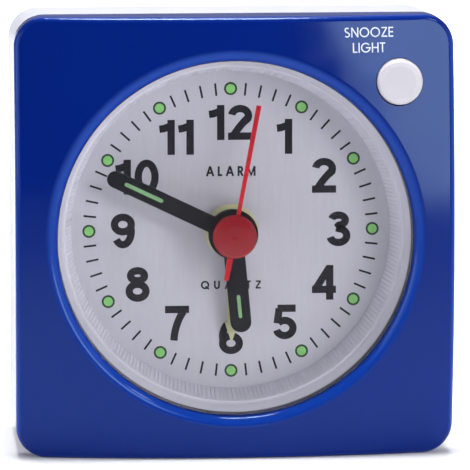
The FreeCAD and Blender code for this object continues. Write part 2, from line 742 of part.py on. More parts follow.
def make_train():
    """Seconds, third and centre wheels, the intermediate wheel and the rotor's pinion."""
    seconds_phase, pinion_phase = 0.0, 0.0
    seconds_rod = rod(size("seconds_tube_radius"), hand_y("second_hand_lift"), SECONDS_LEVEL, 0, AXIS_Z)
    back_rod = rod(ARBOR, SECONDS_LEVEL, back_pivot_y, 0, AXIS_Z)
    seconds = toothed_disc(SECONDS_TEETH, size("seconds_module"), seconds_phase, SECONDS_LEVEL,
                           WHEEL, 0, AXIS_Z)
    seconds = with_windows(seconds, 5, 3.4, 1.3, 0, AXIS_Z)
    pinion = toothed_disc(SECONDS_PINION_TEETH, size("third_module"), pinion_phase,
                          THIRD_LEVEL - 0.1, SECONDS_LEVEL - THIRD_LEVEL + 0.1, 0, AXIS_Z)
    feature("seconds_wheel", seconds.fuse([pinion, seconds_rod, back_rod]))

    third_phase = meshing_phase(pinion_phase, SECONDS_PINION_TEETH, THIRD_TEETH, UP)
    third = toothed_disc(THIRD_TEETH, size("third_module"), third_phase, THIRD_LEVEL, WHEEL, 0, third_z)
    third = with_windows(third, 5, 3.1, 1.1, 0, third_z)
    third_pinion = toothed_disc(THIRD_PINION_TEETH, size("centre_module"), 0.0, CENTRE_LEVEL - 0.1,
                                THIRD_LEVEL - CENTRE_LEVEL + 0.1, 0, third_z)
    third_rod = rod(ARBOR, front_pivot_y, back_pivot_y, 0, third_z)
    feature("third_wheel", third.fuse([third_pinion, third_rod]))

    centre_phase = meshing_phase(0.0, THIRD_PINION_TEETH, CENTRE_TEETH, DOWN)
    centre = toothed_disc(CENTRE_TEETH, size("centre_module"), centre_phase, CENTRE_LEVEL, WHEEL,
                          0, AXIS_Z)
    feature("centre_wheel", pierced(centre, size("cannon_tube_radius-0.2") + GAP, 0, AXIS_Z))

    intermediate_pinion_phase = meshing_phase(seconds_phase, SECONDS_TEETH,
                                              INTERMEDIATE_PINION_TEETH, DOWN)
    intermediate = toothed_disc(INTERMEDIATE_TEETH, size("rotor_module"), 0.0, INTERMEDIATE_LEVEL,
                                WHEEL - 0.1, 0, intermediate_z)
    intermediate = with_windows(intermediate, 5, 2.9, 1.0, 0, intermediate_z)
    intermediate_pinion = toothed_disc(INTERMEDIATE_PINION_TEETH, size("seconds_module"),
                                       intermediate_pinion_phase, SECONDS_LEVEL - 0.1,
                                       INTERMEDIATE_LEVEL - SECONDS_LEVEL + 0.1, 0, intermediate_z)
    intermediate_rod = rod(ARBOR, front_pivot_y, back_pivot_y, 0, intermediate_z)
    feature("intermediate_wheel", intermediate.fuse([intermediate_pinion, intermediate_rod]))

    rotor_phase = meshing_phase(0.0, INTERMEDIATE_TEETH, ROTOR_TEETH, RIGHT)
    rotor_pinion = toothed_disc(ROTOR_TEETH, size("rotor_module"), rotor_phase,
                                INTERMEDIATE_LEVEL - 0.1, MAGNET_LEVEL - INTERMEDIATE_LEVEL + 0.1,
                                rotor_x, intermediate_z)
    rotor_rod = rod(ARBOR, front_pivot_y, back_pivot_y, rotor_x, intermediate_z)
    feature("rotor_pinion", rotor_pinion.fuse([rotor_rod]))
    magnet = rod(size("magnet_radius"), MAGNET_LEVEL, MAGNET_LEVEL + size("magnet_length"),
                 rotor_x, intermediate_z)
    feature("rotor_magnet", pierced(magnet, ARBOR, rotor_x, intermediate_z))


def make_motion_work():
    """Cannon pinion, minute wheel, hour wheel, alarm wheel and the alarm-setting gear."""
    cannon_tube = size("cannon_tube_radius")
    seconds_tube = size("seconds_tube_radius")
    hour_tube = size("hour_tube_radius")
    alarm_tube = size("alarm_tube_radius")
    cannon_phase = 0.0
    cannon = toothed_disc(CANNON_TEETH, size("motion_module"), cannon_phase, MOTION_LEVEL,
                          WHEEL, 0, AXIS_Z)
    front_tube = rod(cannon_tube, hand_y("minute_hand_lift"), MOTION_LEVEL, 0, AXIS_Z)
    clutch_tube = rod(cannon_tube - 0.2, MOTION_LEVEL, CENTRE_LEVEL + WHEEL + 0.15, 0, AXIS_Z)
    cannon = cannon.fuse([front_tube, clutch_tube])
    feature("cannon_pinion", pierced(cannon, seconds_tube + GAP, 0, AXIS_Z))

    minute_phase = meshing_phase(cannon_phase, CANNON_TEETH, MINUTE_TEETH, RIGHT)
    minute = toothed_disc(MINUTE_TEETH, size("motion_module"), minute_phase, MOTION_LEVEL, WHEEL,
                          SETTING, AXIS_Z)
    minute_pinion = toothed_disc(MINUTE_PINION_TEETH, size("hour_module"), 0.0, HOUR_LEVEL - 0.1,
                                 MOTION_LEVEL - HOUR_LEVEL + 0.1, SETTING, AXIS_Z)
    knob_end = size("rear_wall_y+knob_height")
    minute_rod = rod(ARBOR, front_pivot_y, knob_end, SETTING, AXIS_Z)
    feature("minute_wheel", minute.fuse([minute_pinion, minute_rod]))

    hour_phase = meshing_phase(0.0, MINUTE_PINION_TEETH, HOUR_TEETH, LEFT)
    hour = toothed_disc(HOUR_TEETH, size("hour_module"), hour_phase, HOUR_LEVEL, WHEEL, 0, AXIS_Z)
    hour = hour.fuse([rod(hour_tube, hand_y("hour_hand_lift"), HOUR_LEVEL, 0, AXIS_Z)])
    feature("hour_wheel", pierced(hour, cannon_tube + GAP, 0, AXIS_Z))

    alarm_phase = 0.0
    alarm = toothed_disc(ALARM_TEETH, size("alarm_module"), alarm_phase, ALARM_LEVEL, WHEEL, 0, AXIS_Z)
    alarm = alarm.fuse([rod(alarm_tube, hand_y("alarm_hand_lift"), ALARM_LEVEL, 0, AXIS_Z)])
    feature("alarm_wheel", pierced(alarm, hour_tube + GAP, 0, AXIS_Z))

    setter_phase = meshing_phase(alarm_phase, ALARM_TEETH, ALARM_PINION_TEETH, LEFT)
    setter = toothed_disc(ALARM_PINION_TEETH, size("alarm_module"), setter_phase, ALARM_LEVEL, WHEEL,
                          -SETTING, AXIS_Z)
    setter_rod = rod(ARBOR, front_pivot_y, knob_end, -SETTING, AXIS_Z)
    feature("alarm_set_gear", setter.fuse([setter_rod]))


# ---------------------------------------------------------------- movement

def pivot_holes(y_low, depth, *places):
    return [cylinder(f"arbor_radius+{GAP}", y_low, depth, f"{x}", f"{z}") for x, z in places]


def make_movement():
    width = "movement_width/2"
    height = "movement_top_z-movement_bottom_z"
    setting = [(SETTING, AXIS_Z), (-SETTING, AXIS_Z)]
    train = [(0, third_z), (0, intermediate_z), (rotor_x, intermediate_z)]
    tray = centred_box(width, "front_plate_y", "movement_bottom_z",
                       "back_plate_y-front_plate_y-joint_gap", height)
    tray_room = centred_box(f"{width}-0.9", "front_plate_y+plate_thickness",
                            "movement_bottom_z+0.9", "20", f"{height}-1.8")
    tube_way = cylinder(f"alarm_tube_radius+{GAP}", "front_plate_y-1", "3")
    posts = [cylinder("movement_post_radius", "front_plate_y+0.5",
                      "back_plate_y-front_plate_y-0.5-joint_gap", x, z)
             for x, z in movement_screw_places()]
    pilots = [cylinder("movement_screw_radius", "back_plate_y-5", "6", x, z)
              for x, z in movement_screw_places()]
    hollow_tray = cut("hollow_tray", tray, tray_room)
    cut("movement_front_plate", join("tray_with_posts", hollow_tray, *posts), tube_way, *pilots,
        *pivot_holes("front_plate_y-1", "5", *setting, *train))
    back = centred_box(width, "back_plate_y", "movement_bottom_z", "plate_thickness", height)
    screw_ways = [cylinder("0.9", "back_plate_y-1", "3", x, z) for x, z in movement_screw_places()]
    cut("movement_back_plate", back, *screw_ways,
        *pivot_holes("back_plate_y-1", "5", (0, AXIS_Z), *setting, *train))
    screws = []
    for x, z in movement_screw_places():
        shank = cylinder("movement_screw_radius", "back_plate_y-4", "4+plate_thickness", x, z)
        head = cylinder("1.4", "back_plate_y+plate_thickness", "0.8", x, z)
        slot = centred_box("1.5", "back_plate_y+plate_thickness+0.5", f"{z}-0.2", "1", "0.4", x)
        screws.append(cut("movement_screw", join("movement_screw_blank", shank, head), slot))
    doc.recompute()
    feature("movement_screws", Part.makeCompound([screw.Shape for screw in screws]))


def movement_screw_places():
    left, right = "-movement_width/2+2.5", "movement_width/2-2.5"
    top, low = "movement_top_z-2.5", "movement_bottom_z+2.5"
    return [(left, top), (right, top), (left, low)]


def make_motor():
    """The stepper: a stator round the magnet, a core across its arms and a wound bobbin."""
    arm_y, arm_depth = f"{MAGNET_LEVEL + 0.5}", "0.9"
    core_x = size("coil_core_x")
    low_z = size("movement_bottom_z+1.3")
    core_length = size("coil_core_length")
    riser_x = rotor_x + 3.0
    arms = [box(f"{rotor_x - 3.6}", arm_y, f"{intermediate_z - 3.6}", "7.2", arm_depth, "7.2"),
            box(f"{riser_x}", arm_y, f"{intermediate_z + 0.4}", "2.2", arm_depth,
                f"{low_z + core_length - intermediate_z - 0.4}"),
            box(f"{riser_x}", arm_y, f"{low_z + core_length - 1.9}", f"{core_x - riser_x + 1.5}",
                arm_depth, "1.9"),
            box(f"{rotor_x - 2}", arm_y, f"{low_z}", f"{core_x - rotor_x + 3.5}", arm_depth, "2.1")]
    window = cylinder("magnet_radius+0.35", f"{arm_y}-1", "3", f"{rotor_x}", f"{intermediate_z}")
    slit = box(f"{rotor_x + 2}", f"{arm_y}-1", f"{intermediate_z - 0.2}", "0.9", "3", "0.4")
    cut("stator", join("stator_blank", *arms), window, slit)
    core_y = f"{arm_y}-1.0-joint_gap"
    box_core = box(f"{core_x - 1.1}", core_y, f"{low_z + 0.2}", "2.2", "1", f"{core_length - 0.4}")
    label(box_core, "coil_core")
    middle_y = size(core_y) + 0.5
    bobbin_low = low_z + 2.2
    cheek = "coil_cheek"
    spool = [upright_cylinder("bobbin_radius", f"{core_x}", f"{middle_y}", f"{bobbin_low}", "coil_length"),
             upright_cylinder("coil_radius+0.25", f"{core_x}", f"{middle_y}", f"{bobbin_low}", cheek),
             upright_cylinder("coil_radius+0.25", f"{core_x}", f"{middle_y}",
                              f"{bobbin_low}+coil_length-{cheek}", cheek)]
    core_way = box(f"{core_x - 1.15}", f"{middle_y - 0.55}", f"{bobbin_low - 1}", "2.3", "1.1", "20")
    stator_way = box(f"{core_x - 4}", arm_y + "-joint_gap", f"{bobbin_low - 1}", "8", "5", "20")
    cut("coil_bobbin", join("spool", *spool), core_way, stator_way)
    winding = upright_cylinder("coil_radius", f"{core_x}", f"{middle_y}", f"{bobbin_low}+{cheek}",
                               f"coil_length-2*{cheek}")
    bore = upright_cylinder("bobbin_radius", f"{core_x}", f"{middle_y}", f"{bobbin_low}", "coil_length")
    room = box(f"{core_x - 4}", arm_y + "-joint_gap", f"{bobbin_low - 1}", "8", "5", "20")
    cut("coil_winding", winding, bore, room)


def make_electronics():
    board_y = "back_plate_y+plate_thickness+0.9"
    board = box("-15", board_y, "33.8", "25", "0.8", "11.4")
    ways = [cylinder("1.2", f"{board_y}-1", "3", x, "36") for x in ("-13", "8")]
    cut("circuit_board", board, *ways)
    pillars = [cylinder("1.1", "back_plate_y+plate_thickness", "0.9-joint_gap", x, "36") for x in
               ("-13", "8")]
    doc.recompute()
    feature("board_spacers", Part.makeCompound([pillar.Shape for pillar in pillars]))
    blob = doc.addObject("Part::Sphere", "blob")
    bind(blob, Radius="4")
    put(blob, "-7", f"{board_y}-2.2", "40")
    behind = box("-12", f"{board_y}+0.8", "35", "10", "3", "10")
    overlap("chip_cover", blob, behind)
    label(cross_cylinder("crystal_radius", "-1", "crystal_length", f"{board_y}+1.85", "42.6"),
          "quartz_crystal")
    buzzer_y = "rear_wall_y-wall-0.3"
    label(cylinder("buzzer_radius", buzzer_y, "0.25", "0", "buzzer_z"), "buzzer_disc")
    label(cylinder("ceramic_radius", f"{buzzer_y}-0.2", "0.2", "0", "buzzer_z"), "buzzer_ceramic")
    leaf = box("-3.2", "front_plate_y+plate_thickness+0.05", "34.2", "1.4", "0.15", "8.4")
    foot = box("-3.2", "front_plate_y+plate_thickness+0.05", "41.4", "1.4", "3", "1.2")
    join("alarm_contact_spring", leaf, foot)


# ---------------------------------------------------------------- snooze and light button

def make_button():
    """The button, its return spring, the leaf it presses, the leaf's board and the lamp."""
    proud_y = "(dial_y-9.45-button_proud)"
    stem_end = "(dial_y-0.7-button_travel-joint_gap)"
    turned("snooze_button", [("0", proud_y), ("button_radius-0.9", f"{proud_y}+0.02"),
                             ("button_radius-0.35", f"{proud_y}+0.14"),
                             ("button_radius-0.08", f"{proud_y}+0.42"),
                             ("button_radius", f"{proud_y}+0.8"),
                             ("button_radius", f"{proud_y}+3.7"),
                             ("button_radius+0.45", f"{proud_y}+3.7"),
                             ("button_radius+0.45", f"{proud_y}+4.4"),
                             ("0.9", f"{proud_y}+4.4"), ("0.9", stem_end), ("0", stem_end)],
           "button_x", "button_z")
    board_y = "dial_y+0.4"
    join("switch_board", box("button_x-4.2", board_y, "button_z-4.6", "8.6", "0.8", "6.2"),
         box("button_x-4.2", board_y, "button_z", "4.4", "0.8", "5.2"),
         box("lamp_x-1.8", board_y, "lamp_z-1.4", "button_x-lamp_x-1", "0.8", "3"))
    coil_start = f"({proud_y}+4.42+spring_wire_radius)"
    coil_height = f"({board_y}-0.02-spring_wire_radius-{coil_start})"
    spring = wire_coil("snooze_spring", "2.4", "spring_wire_radius", 6, coil_height)
    spring.Placement = Placement(Vector(), Rotation(Vector(1, 0, 0), -90))
    put(spring, "button_x", coil_start, "button_z")
    leaf_y = "dial_y-0.7"
    leaf = box("button_x-1.9", leaf_y, "button_z-0.7", "3.6", "0.15", "1.4")
    leg = box("button_x-1.9", leaf_y, "button_z-0.7", "0.3", "1.1", "1.4")
    join("switch_leaf", leaf, leg)
    globe = doc.addObject("Part::Sphere", "globe")
    bind(globe, Radius="lamp_radius")
    put(globe, "lamp_x", "dial_y-2.2", "lamp_z")
    join("dial_lamp", globe, cylinder("lamp_radius", "dial_y-2.2", "2.55", "lamp_x", "lamp_z"))


# ---------------------------------------------------------------- back controls

def make_knob(name, x):
    """A round setting knob with a grooved edge, pressed on its arbor."""
    low = "rear_wall_y+0.3"
    high = "rear_wall_y+knob_height+0.3"
    blank = turned(name + "_blank", [("0", "rear_wall_y-2.6"), ("0.9", "rear_wall_y-2.6"),
                                     ("0.9", low), ("knob_radius-0.2", low),
                                     ("knob_radius", f"{low}+0.2"),
                                     ("knob_radius", f"{high}-0.5"), ("knob_radius-0.5", high),
                                     ("0", high)], x)
    count = int(size("knob_grooves"))
    radius = size("knob_radius")
    centre_x = size(x)
    grooves = []
    for number in range(count):
        angle = 2 * math.pi * number / count
        groove_x = centre_x + radius * math.cos(angle)
        groove_z = AXIS_Z + radius * math.sin(angle)
        grooves.append(cylinder("knob_groove_radius", f"{low}-1", "5", f"{groove_x}", f"{groove_z}"))
    bore = cylinder("arbor_radius", "rear_wall_y-4", "4+knob_height", x)
    return cut(name, blank, bore, *grooves)


def make_alarm_switch():
    """The on-off slider, riding in a slot, and the contact it carries."""
    stem = centred_box("1.2", "rear_wall_y-2.4", "switch_z-1.4-switch_travel/2", "2.3", "2.8", "switch_x")
    thumb = centred_box("2.2", "rear_wall_y-0.55", "switch_z-2.1-switch_travel/2", "1.6", "4.2", "switch_x")
    ridges = [centred_box("2.2", "rear_wall_y+0.7", f"switch_z-switch_travel/2+{step}-0.25", "0.9",
                          "0.5", "switch_x") for step in (-1.2, 0, 1.2)]
    grip = rounded("thumb", thumb, "0.4", along_y)
    keeper = centred_box("2.1", "rear_wall_y-2.6", "switch_z-2-switch_travel/2", "0.85", "4", "switch_x")
    join("alarm_switch", stem, grip, keeper, *ridges)
    wiper = centred_box("0.9", "rear_wall_y-2.8", "switch_z-2-switch_travel/2", "0.2", "4", "switch_x")
    label(wiper, "alarm_switch_wiper")


def make_battery_parts():
    cell_start = "(bay_half_width-0.6-cell_length)"
    body = cross_cylinder("cell_radius", cell_start, "cell_length-1.0", "cell_y", "cell_z")
    nub = cross_cylinder("cell_nub_radius", cell_start, "cell_length", "cell_y", "cell_z")
    join("battery", body, nub)
    contact = box("bay_half_width-0.55", "bay_front_y+1", "cell_z-4", "0.5", "9", "8")
    label(contact, "battery_positive_contact")
    tab_face = "(-bay_half_width+0.45)"
    coil_height = f"({cell_start}-0.02-contact_wire_radius-{tab_face})"
    coil = wire_coil("contact_coil", "2.0", "contact_wire_radius", 3.5, coil_height, 19)
    coil.Placement = Placement(Vector(), Rotation(Vector(0, 1, 0), -90))
    put(coil, f"{tab_face}+{coil_height}", "cell_y", "cell_z")
    tab = box("-bay_half_width+0.05", "bay_front_y+1", "cell_z-4", "0.4", "9", "8")
    join("battery_negative_spring", tab, coil)
    door = centred_box("bay_half_width+0.1-door_gap", "rear_wall_y-cover_thickness",
                       "bay_bottom_z-0.6+door_gap", "cover_thickness",
                       "bay_top_z-bay_bottom_z+1.6-2*door_gap")
    tabs = [box(f"{x}-1.9", "rear_wall_y-1.9", "bay_bottom_z-0.95", "3.8", "0.9", "1.3")
            for x in ("-14", "14")]
    latch = box("-2.8", "rear_wall_y-3.0", "bay_top_z-1.6", "5.6", "1.7", "1.2")
    hook = box("-2.8", "rear_wall_y-3.0", "bay_top_z-0.5", "5.6", "0.9", "1.0")
    grips = [centred_box("4.5", "rear_wall_y-0.35", f"{height}", "1", "0.45")
             for height in (9.6, 10.5, 11.4)]
    cut("battery_cover", join("cover_blank", door, *tabs, latch, hook), *grips)


# ---------------------------------------------------------------- build, check and export

NODES = ["front_case", "rear_case", "lens", "dial_ring", "dial", "alarm_hand", "hour_hand",
         "hour_hand_lume", "minute_hand", "minute_hand_lume", "second_hand", "second_hand_cap",
         "seconds_wheel", "third_wheel", "centre_wheel", "intermediate_wheel", "rotor_pinion",
         "rotor_magnet", "cannon_pinion", "minute_wheel", "hour_wheel", "alarm_wheel",
         "alarm_set_gear", "movement_front_plate", "movement_back_plate", "movement_screws",
         "stator", "coil_core", "coil_bobbin", "coil_winding", "circuit_board", "board_spacers",
         "chip_cover", "quartz_crystal", "buzzer_disc", "buzzer_ceramic", "alarm_contact_spring",
         "snooze_button", "snooze_spring", "switch_leaf", "switch_board", "dial_lamp",
         "time_set_knob", "alarm_set_knob", "alarm_switch", "alarm_switch_wiper", "battery",
         "battery_positive_contact", "battery_negative_spring", "battery_cover", "case_screws"]


def check_document():
    for item in doc.Objects:
        if "Invalid" in item.State or "Error" in item.State:
            raise RuntimeError(f"{item.Label}: {item.State}")


def export():
    os.makedirs("parts", exist_ok=True)
    for name in NODES:
        found = [item for item in doc.Objects if item.Label == name]
        if len(found) != 1:
            raise RuntimeError(f"{name}: {len(found)} objects have this label")
        shape = found[0].Shape
        if shape.isNull() or not shape.isValid() or not shape.Solids:
            raise RuntimeError(f"{name}: its shape is null, not valid or holds no solid")
        shape.exportStep(f"parts/{name}.step")
        limits = shape.BoundBox
        print(f"{name}: {len(shape.Solids)} solid, {shape.Volume:.2f} mm3, "
              f"X {limits.XMin:.2f}..{limits.XMax:.2f} Y {limits.YMin:.2f}..{limits.YMax:.2f} "
              f"Z {limits.ZMin:.2f}..{limits.ZMax:.2f}")


make_front_case()
make_rear_case()
make_case_screws()
make_lens()
make_dial_ring()
make_dial()
make_hands()
make_train()
make_motion_work()
make_movement()
make_motor()
make_electronics()
make_button()
make_knob("time_set_knob", "setting_distance")
make_knob("alarm_set_knob", "-setting_distance")
make_alarm_switch()
make_battery_parts()
doc.recompute()
check_document()
export()
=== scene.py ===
import json
import math

import bmesh
import bpy
from mathutils import Matrix, Vector


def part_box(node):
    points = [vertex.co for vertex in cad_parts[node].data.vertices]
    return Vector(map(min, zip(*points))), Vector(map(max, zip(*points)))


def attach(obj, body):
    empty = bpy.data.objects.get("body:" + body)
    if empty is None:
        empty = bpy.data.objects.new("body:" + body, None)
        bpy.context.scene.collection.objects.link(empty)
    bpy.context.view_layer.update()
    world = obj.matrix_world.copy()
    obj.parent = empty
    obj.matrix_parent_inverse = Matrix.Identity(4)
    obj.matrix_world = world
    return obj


# The square quartz alarm clock's looks: printing, materials, light and camera.  Metres, +Z up.
# The dial faces -Y, so a clock angle turns clockwise from +Z towards +X.

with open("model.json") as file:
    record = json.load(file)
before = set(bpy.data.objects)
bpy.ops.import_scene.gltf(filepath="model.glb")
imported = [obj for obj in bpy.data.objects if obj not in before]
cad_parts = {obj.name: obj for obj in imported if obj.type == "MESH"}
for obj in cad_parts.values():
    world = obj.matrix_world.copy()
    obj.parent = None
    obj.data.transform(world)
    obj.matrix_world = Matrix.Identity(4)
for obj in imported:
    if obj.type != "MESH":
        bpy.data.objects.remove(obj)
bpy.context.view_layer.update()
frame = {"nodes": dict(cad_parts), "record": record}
nodes = frame["nodes"]

MM = 0.001
PRINT_HEIGHT = 0.02 * MM


def centre_of(node):
    """Middle of a node's box across and up."""
    low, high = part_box(node)
    return (low.x + high.x) / 2, (low.z + high.z) / 2


def clock_direction(degrees):
    """Unit vector across the dial at an angle clockwise from twelve."""
    turn = math.radians(degrees)
    return Vector((math.sin(turn), 0, math.cos(turn)))


AXIS_X, AXIS_Z = centre_of("dial")
DIAL_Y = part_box("dial")[0].y


# ---------------------------------------------------------------- materials

NOISE_LOW, NOISE_HIGH = 0.3, 0.7
FLOW_STRETCH = (1, 1, 0.35)
MIX_COLOUR_A, MIX_COLOUR_B, MIX_COLOUR_RESULT = 6, 7, 2


def shader(name, base, roughness, **sockets):
    """A material with one Principled shader; constants go on its own sockets."""
    material = bpy.data.materials.new(name)
    material.use_nodes = True
    principled = material.node_tree.nodes["Principled BSDF"]
    principled.inputs["Base Color"].default_value = (*base, 1)
    principled.inputs["Roughness"].default_value = roughness
    for socket, value in sockets.items():
        principled.inputs[socket.replace("_", " ")].default_value = value
    return material, principled


def noise(tree, scale, detail=4.0, stretch=(1, 1, 1)):
    """Noise in object space; scale is in features per metre, and stretch multiplies it per axis."""
    place = tree.nodes.new("ShaderNodeTexCoord")
    mapping = tree.nodes.new("ShaderNodeMapping")
    mapping.inputs["Scale"].default_value = stretch
    texture = tree.nodes.new("ShaderNodeTexNoise")
    texture.inputs["Scale"].default_value = scale
    texture.inputs["Detail"].default_value = detail
    tree.links.new(place.outputs["Object"], mapping.inputs["Vector"])
    tree.links.new(mapping.outputs["Vector"], texture.inputs["Vector"])
    return texture.outputs["Fac"]


def ramped(tree, source, dark, light):
    """A colour that runs from dark to light over the middle of a noise."""
    ramp = tree.nodes.new("ShaderNodeValToRGB")
    ends = ramp.color_ramp.elements
    ends[0].position, ends[1].position = NOISE_LOW, NOISE_HIGH
    ends[0].color, ends[1].color = (*dark, 1), (*light, 1)
    tree.links.new(source, ramp.inputs["Fac"])
    return ramp.outputs["Color"]


def vary_colour(material, principled, source, dark, light):
    """The base colour runs from dark to light with the source."""
    tree = material.node_tree
    tree.links.new(ramped(tree, source, dark, light), principled.inputs["Base Color"])


def vary_roughness(material, principled, source, low, high):
    """The roughness runs from low to high with the source."""
    tree = material.node_tree
    spread = tree.nodes.new("ShaderNodeMapRange")
    spread.inputs["From Min"].default_value = NOISE_LOW
    spread.inputs["From Max"].default_value = NOISE_HIGH
    spread.inputs["To Min"].default_value = low
    spread.inputs["To Max"].default_value = high
    tree.links.new(source, spread.inputs["Value"])
    tree.links.new(spread.outputs["Result"], principled.inputs["Roughness"])


def add_bump(material, principled, source, height):
    """Bump of a real height in metres."""
    tree = material.node_tree
    bump = tree.nodes.new("ShaderNodeBump")
    bump.inputs["Distance"].default_value = height
    bump.inputs["Strength"].default_value = 1.0
    tree.links.new(source, bump.inputs["Height"])
    tree.links.new(bump.outputs["Normal"], principled.inputs["Normal"])


def shaded(colour, factor):
    """The colour made darker or lighter, each channel up to 1."""
    return tuple(min(1.0, channel * factor) for channel in colour)


def moulded(name, base, roughness, spread=0.06, grain=900, grain_height=2e-6, **sockets):
    """Moulded plastic: faint flow streaks in colour, uneven gloss and a fine skin."""
    material, principled = shader(name, base, roughness, **sockets)
    tree = material.node_tree
    flow = noise(tree, 90, stretch=FLOW_STRETCH)
    vary_colour(material, principled, flow, shaded(base, 1 - spread), shaded(base, 1 + spread))
    vary_roughness(material, principled, noise(tree, 350), roughness * 0.85, roughness * 1.2)
    add_bump(material, principled, noise(tree, grain, 2.0), grain_height)
    return material


def metal(name, base, roughness, stretch=(1, 1, 12), **sockets):
    """Drawn or stamped metal with brushing along one axis."""
    material, principled = shader(name, base, roughness, Metallic=1.0, **sockets)
    tree = material.node_tree
    brushing = noise(tree, 2500, 3.0, stretch)
    vary_colour(material, principled, brushing, shaded(base, 0.9), shaded(base, 1.06))
    vary_roughness(material, principled, brushing, roughness * 0.75, roughness * 1.3)
    add_bump(material, principled, brushing, 1.5e-6)
    return material


def painted(name, base, roughness, **sockets):
    """Sprayed paint: slight orange peel and uneven cover."""
    material, principled = shader(name, base, roughness, **sockets)
    tree = material.node_tree
    vary_colour(material, principled, noise(tree, 1400), shaded(base, 0.9), shaded(base, 1.1))
    vary_roughness(material, principled, noise(tree, 900), roughness * 0.8, roughness * 1.2)
    add_bump(material, principled, noise(tree, 2600, 2.0), 3e-6)
    return material


def dial_paint():
    """Silver dial paint: fine vertical brushing under a satin lacquer."""
    base = (0.55, 0.54, 0.615)
    material, principled = shader("dial_paint", base, 0.42, Metallic=0.25)
    tree = material.node_tree
    brushing = noise(tree, 900, 5.0, (3.0, 1, 0.25))
    vary_colour(material, principled, brushing, shaded(base, 0.965), shaded(base, 1.03))
    vary_roughness(material, principled, brushing, 0.36, 0.5)
    add_bump(material, principled, noise(tree, 5200, 2.0), 1.2e-6)
    return material


def band(tree, source, start, full):
    """A factor that rises from 0 at start to 1 at full."""
    ramp = tree.nodes.new("ShaderNodeMapRange")
    ramp.interpolation_type = "SMOOTHSTEP"
    ramp.inputs["From Min"].default_value = start
    ramp.inputs["From Max"].default_value = full
    tree.links.new(source, ramp.inputs["Value"])
    return ramp.outputs["Result"]


def calculated(tree, operation, *sources):
    """A Math node over sockets or numbers."""
    node = tree.nodes.new("ShaderNodeMath")
    node.operation = operation
    for number, source in enumerate(sources):
        if isinstance(source, (int, float)):
            node.inputs[number].default_value = source
        else:
            tree.links.new(source, node.inputs[number])
    return node.outputs["Value"]


def dial_distances(tree):
    """Distance from the dial's axis, then how much of it is across and how much is up or down."""
    place = tree.nodes.new("ShaderNodeTexCoord")
    split = tree.nodes.new("ShaderNodeSeparateXYZ")
    tree.links.new(place.outputs["Object"], split.inputs["Vector"])
    across = calculated(tree, "ABSOLUTE", split.outputs["X"])
    height = calculated(tree, "ABSOLUTE", calculated(tree, "SUBTRACT", split.outputs["Z"], AXIS_Z))
    square = calculated(tree, "ADD", calculated(tree, "MULTIPLY", across, across),
                        calculated(tree, "MULTIPLY", height, height))
    return calculated(tree, "SQRT", square), across, height


def mixed(tree, factor, low, high):
    """A colour that runs from low to high; each is a socket or a colour."""
    mix = tree.nodes.new("ShaderNodeMix")
    mix.data_type = "RGBA"
    tree.links.new(factor, mix.inputs["Factor"])
    for number, colour in ((MIX_COLOUR_A, low), (MIX_COLOUR_B, high)):
        if isinstance(colour, tuple):
            mix.inputs[number].default_value = (*colour, 1)
        else:
            tree.links.new(colour, mix.inputs[number])
    return mix.outputs[MIX_COLOUR_RESULT]


# Radii and distances where the painted highlight and painted shade bands fall on the ring and on the blue
# case.
SLOPE_OUTER, SLOPE_BLEND = 22.0 * MM, 0.25 * MM
RING_EDGE, RING_EDGE_BLEND = 23.04 * MM, 0.16 * MM
WINDOW_WALL, WINDOW_WALL_BLEND = 23.02 * MM, 0.28 * MM
LIP_INNER, LIP_OUTER = 23.9 * MM, 24.75 * MM
SIDE_EDGE_START, SIDE_EDGE_FULL = 27.75 * MM, 28.35 * MM
TOP_EDGE_START, TOP_EDGE_FULL = 28.0 * MM, 28.6 * MM


def ring_plastic():
    """Silvery ring, with a painted highlight on its ribbed sloping wall and painted shade, nearly black,
    at its very edge.
    """
    slope_painted_highlight, flare, shade = (0.70, 0.695, 0.78), (0.57, 0.565, 0.65), (0.05, 0.05, 0.07)
    material, principled = shader("ring_plastic", flare, 0.42, Specular_IOR_Level=0.3)
    tree = material.node_tree
    radius = dial_distances(tree)[0]
    # Painted highlight: the ribbed sloping wall takes a lighter copy of the ring's colour.
    body = mixed(tree, band(tree, radius, SLOPE_OUTER + SLOPE_BLEND, SLOPE_OUTER), flare, slope_painted_highlight)
    mottling = calculated(tree, "MULTIPLY", 0.06, noise(tree, 500))
    colour = mixed(tree, mottling, body, shaded(flare, 1.05))
    # Painted shade: the rim just inside the window's wall goes nearly black.
    edged = mixed(tree, band(tree, radius, RING_EDGE - RING_EDGE_BLEND, RING_EDGE), colour, shade)
    tree.links.new(edged, principled.inputs["Base Color"])
    vary_roughness(material, principled, noise(tree, 350), 0.38, 0.48)
    add_bump(material, principled, noise(tree, 900, 2.0), 3e-7)
    return material


